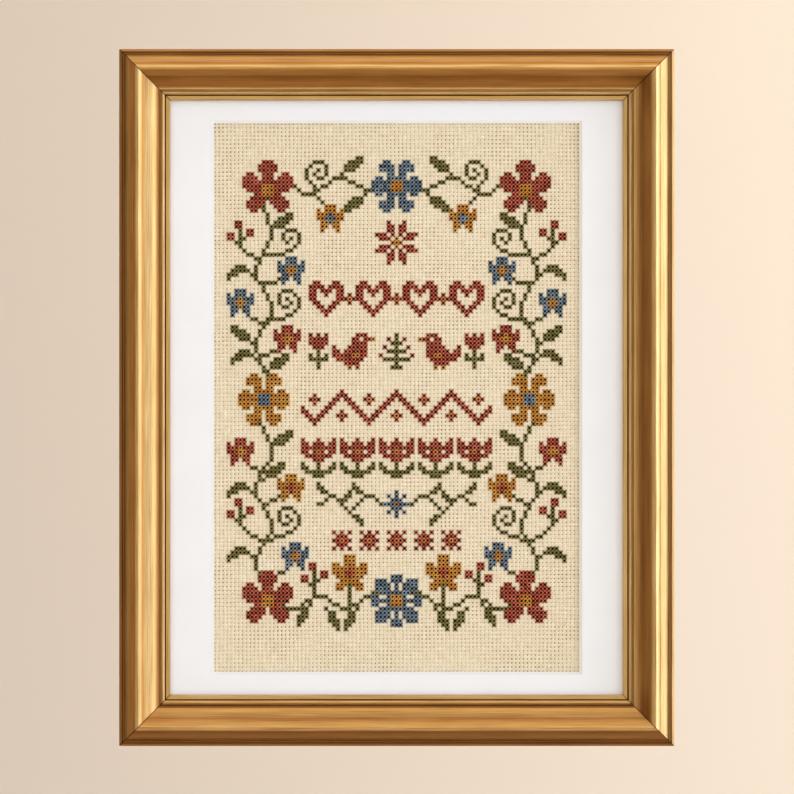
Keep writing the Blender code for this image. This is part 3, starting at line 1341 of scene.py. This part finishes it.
# %% [markdown]
# ## The gilded finish
#
# The moulding has a foil of imitation gold over brown ground, brushed lengthwise and wiped with a
# brown glaze. So it is a metal, but a soft one: highlights are broad and run along the rail, with
# fine streaks where the brush went. The streaks are drawn about half a millimetre wide, so that
# they show in a picture of the whole frame. The glaze is a toned film over the gold, from clear
# where it is wiped off to dark brown where it lies deep, and on each rail it also carries painted
# shade where that rail faces away from the lamps. The unseen sides are bare wood. The map counts
# millimetres, so each scale is one over a streak's length, or over its width.

# %% Gilt and bare wood materials
STREAK_SCALES = (1 / 32.0, 1 / 0.45)
CLOUD_SCALES = (1 / 30.0, 1 / 4.0)
GRAIN_SCALES = (1 / 45.0, 1 / 0.9)


def gilt_material():
    material, add, shader = new_material("brushed_imitation_gold_leaf")
    lay = add("UVMap", uv_map="moulding")
    streaks = streaks_on(lay, STREAK_SCALES, 3.0)
    clouds = streaks_on(lay, CLOUD_SCALES, 4.0)
    tone = add("Mix", {0: 0.25, 2: streaks, 3: clouds})
    leaf = add("ValToRGB", {"Fac": tone}, stops={0.3: "#9C743A", 0.5: "#C39B5E", 0.7: "#E3C285"})
    # This attribute holds the glaze, and per rail the painted shade.
    glaze_and_shade = add("Attribute", attribute_name="glaze_and_shade").outputs["Fac"]
    glaze_and_shade_depth = add("Math", {0: streaks, 1: 0.4, 2: glaze_and_shade}, operation="MULTIPLY_ADD")
    glaze_and_shade_film = add("ValToRGB", {"Fac": glaze_and_shade_depth}, stops={0.2: "#FFFFFF", 0.62: "#D9BD9B", 1.0: "#5A2F12"})
    colour = add("Mix", {0: 1.0, 6: leaf, 7: glaze_and_shade_film}, data_type="RGBA", blend_type="MULTIPLY")
    roughness = add("MapRange", {
        "Value": streaks, "From Min": 0.3, "From Max": 0.7, "To Min": 0.34, "To Max": 0.46,
    })
    bump = add("Bump", {"Height": streaks, "Strength": 0.35, "Distance": 0.05 * MM})
    set_inputs(shader, {
        "Base Color": colour.outputs[2], "Roughness": roughness, "Normal": bump, "Metallic": 0.9,
    })
    return material


def bare_wood_material():
    material, add, shader = new_material("bare_straight_grained_wood")
    lay = add("UVMap", uv_map="moulding")
    grain = streaks_on(lay, GRAIN_SCALES, 5.0, distortion=0.3)
    colour = add(
        "ValToRGB", {"Fac": grain},
        stops={0.32: "#A9865C", 0.5: "#C4A379", 0.7: "#D6B98F"},
    )
    bump = add("Bump", {"Height": grain, "Strength": 0.4, "Distance": 0.15 * MM})
    set_inputs(shader, {"Base Color": colour, "Normal": bump, "Roughness": 0.75})
    return material


finishes = [gilt_material(), bare_wood_material()]
rails = []
for quarter, side in enumerate(SECTIONS):
    length, reach = FRAME_WIDTH, FRAME_HEIGHT / 2
    if quarter % 2:
        length, reach = FRAME_HEIGHT, FRAME_WIDTH / 2
    form = rail_mesh(SECTIONS[side], length, reach, math.radians(90 * quarter))
    rail = make_object(f"gilt_{side}_rail", form, finishes)
    rail.data.set_sharp_from_angle(angle=math.radians(25))
    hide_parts(f"{side}_rail")
    rails.append(rail)
    print(rail.name, "triangles:", triangles(rail))

# %% [markdown]
# ## The window mat
#
# The mat is thick card with a smooth white paper face, cut at 45 degrees with a blade, so its
# white core shows as a narrow bevel round the window. The solid already has that shape and only
# needs a finish. The core is found by the way its surface faces. Its colour is painted shade and
# painted light: greyer where it faces up or to the right, towards the light, and lighter where it
# faces away.

# %% Mat and backing board materials
CLOUD_SIZE = 25.0
FACE_SQUARENESS = 0.9
UPWARD_SHARE = 0.6


def card_material(name, face_colours, core_colours, fibre_size, roughness):
    """Card with a paper face and a core that shows on its cut edges."""
    material, add, shader = new_material(name)
    place = add("TexCoord").outputs["Object"]
    fibres, clouds = (
        add("TexNoise", {"Vector": place, "Scale": 1 / (size * MM), "Detail": detail})
        for size, detail in ((fibre_size, 4.0), (CLOUD_SIZE, 3.0))
    )
    tone = add("Mix", {0: 0.5, 2: fibres, 3: clouds})
    face = add("ValToRGB", {"Fac": tone}, stops=dict(zip((0.3, 0.7), face_colours)))
    normal = add("NewGeometry").outputs["Normal"]
    facing = add("SeparateXYZ", {0: normal}).outputs
    square_on = add("Math", {0: facing["Y"]}, operation="ABSOLUTE")
    is_face = add("Math", {0: square_on, 1: FACE_SQUARENESS}, operation="GREATER_THAN")
    # The core's colour by facing is painted shade and painted light.
    to_light = add(
        "Math", {0: facing["Z"], 1: UPWARD_SHARE, 2: facing["X"]},
        operation="MULTIPLY_ADD",
    )
    core_painted_shade = add("ValToRGB", {"Fac": to_light}, stops=dict(zip((0.0, 0.7), core_colours)))
    colour = add("Mix", {0: is_face, 6: core_painted_shade, 7: face}, data_type="RGBA")
    bump = add("Bump", {"Height": fibres, "Strength": 0.3, "Distance": 0.05 * MM})
    set_inputs(shader, {
        "Base Color": colour.outputs[2], "Normal": bump,
        "Roughness": roughness, "Specular IOR Level": 0.3,
    })
    return material


def finish_node(name, material):
    """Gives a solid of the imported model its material."""
    node = frame["nodes"][name]
    node.data.materials.clear()
    node.data.materials.append(material)
    for face in node.data.polygons:
        face.material_index = 0
    print(name, "finish:", material.name)


finish_node("window_mat", card_material(
    "white_smooth_mat_card", ("#F2F1EC", "#F7F6F1"), ("#FBFAF6", "#DCD7CC"), 0.35, 0.85
))
finish_node("backing_board", card_material(
    "brown_backing_board", ("#85694A", "#A08059"), ("#8A6C48", "#8A6C48"), 0.8, 0.9
))

# %% [markdown]
# ## The studio
#
# The object hangs in a plain pale room: a floor that sweeps up into a backdrop. It is lit from
# the right, a little from above, which is what makes the right-hand slopes of the moulding
# bright and the left-hand ones dark. Metal only shows what it reflects, so each lamp is a large
# panel, and its place is chosen by the slope that should catch it: weaker ones stand in front,
# at the left and above, and the last one lights only the backdrop. The panels stand where a
# camera may pass, so they are hidden from it.

# %% Floor and backdrop
FLOOR_DROP = 0.9
FLOOR_FRONT = -6.0
SWEEP_START = 3.0
SWEEP_RADIUS = 1.5
BACKDROP_TOP = 5.0
ROOM_HALF_WIDTH = 6.0


def studio_mesh():
    floor = cad_low.z - FLOOR_DROP
    form = bmesh.new()
    front = form.verts.new((-ROOM_HALF_WIDTH, FLOOR_FRONT, floor))
    start = form.verts.new((-ROOM_HALF_WIDTH, SWEEP_START, floor))
    form.edges.new((front, start))
    swept = bmesh.ops.spin(
        form, geom=[start], cent=(0.0, SWEEP_START, floor + SWEEP_RADIUS), axis=(1.0, 0.0, 0.0),
        angle=math.radians(90), steps=24,
    )["geom_last"]
    top = verts_in(swept)[0]
    peak = form.verts.new((-ROOM_HALF_WIDTH, top.co.y, BACKDROP_TOP))
    form.edges.new((top, peak))
    far_side = verts_in(bmesh.ops.extrude_edge_only(form, edges=form.edges)["geom"])
    bmesh.ops.translate(form, verts=far_side, vec=(2 * ROOM_HALF_WIDTH, 0.0, 0.0))
    bmesh.ops.recalc_face_normals(form, faces=form.faces)
    for face in form.faces:
        face.smooth = True
    return form


paper, _, paper_shader = new_material("matt_cream_backdrop_paper")
set_inputs(paper_shader, {
    "Base Color": linear("#F2E1CC"), "Roughness": 0.95, "Specular IOR Level": 0.1,
})
backdrop = make_object("backdrop", studio_mesh(), [paper])
print("backdrop triangles:", triangles(backdrop))

# %% Lights
BACKDROP_AIM = Vector((1.1, 4.5, 0.1))
PANELS = [
    ("right_panel", (2.3, -0.35, 0.3), 2.4, 2.4, 5.8, "#D2E4FF"),
    ("left_panel", (-2.2, 0.7, 0.2), 1.8, 2.0, 0.62, "#FFE0B8"),
    ("near_right_panel", (1.9, -2.45, 0.5), 0.9, 2.2, 2.3, "#D8E8FF"),
    ("front_panel", (0.0, -3.8, 0.3), 2.6, 3.6, 1.17, "#FBF8F8"),
    ("front_left_panel", (-2.3, -2.9, 0.3), 1.6, 3.0, 1.1, "#FFFBF5"),
    ("side_left_panel", (-3.0, -1.3, 0.3), 1.5, 3.0, 0.98, "#F2F3FF"),
    ("top_panel", (0.2, -0.3, 2.1), 2.6, 2.6, 1.85, "#FFF3E4"),
    ("top_front_panel", (0.2, -2.4, 2.2), 2.6, 1.4, 0.7, "#FFFFFF"),
    ("backdrop_panel", (2.4, 3.1, 1.2), 1.4, 1.4, 10.7, "#FFFFFF", BACKDROP_AIM),
]


def add_panel(name, place, width, height, radiance, colour, aim=CENTRE):
    """A panel lamp. Its power is worked out from how bright it should look."""
    lamp = bpy.data.lights.new(name, "AREA")
    lamp.shape = "RECTANGLE"
    lamp.size = width
    lamp.size_y = height
    lamp.energy = radiance * math.pi * width * height
    lamp.color = linear(colour)[:3]
    item = add_object(name, lamp)
    item.location = place
    item.rotation_euler = (aim - Vector(place)).to_track_quat("-Z", "Y").to_euler()
    item.visible_camera = False


for panel in PANELS:
    add_panel(*panel)
world = bpy.data.worlds.new("pale_room")
world.use_nodes = True
background = world.node_tree.nodes["Background"]
set_inputs(background, {"Color": linear("#FFF4E8"), "Strength": 0.06})
bpy.context.scene.world = world
bpy.context.scene.view_settings.view_transform = "Standard"
print("lamps:", len(PANELS))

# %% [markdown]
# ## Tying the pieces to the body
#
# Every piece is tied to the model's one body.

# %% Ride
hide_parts("stitched_cloth")
for piece in (cloth, *stitches, *rails):
    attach(piece, "root")
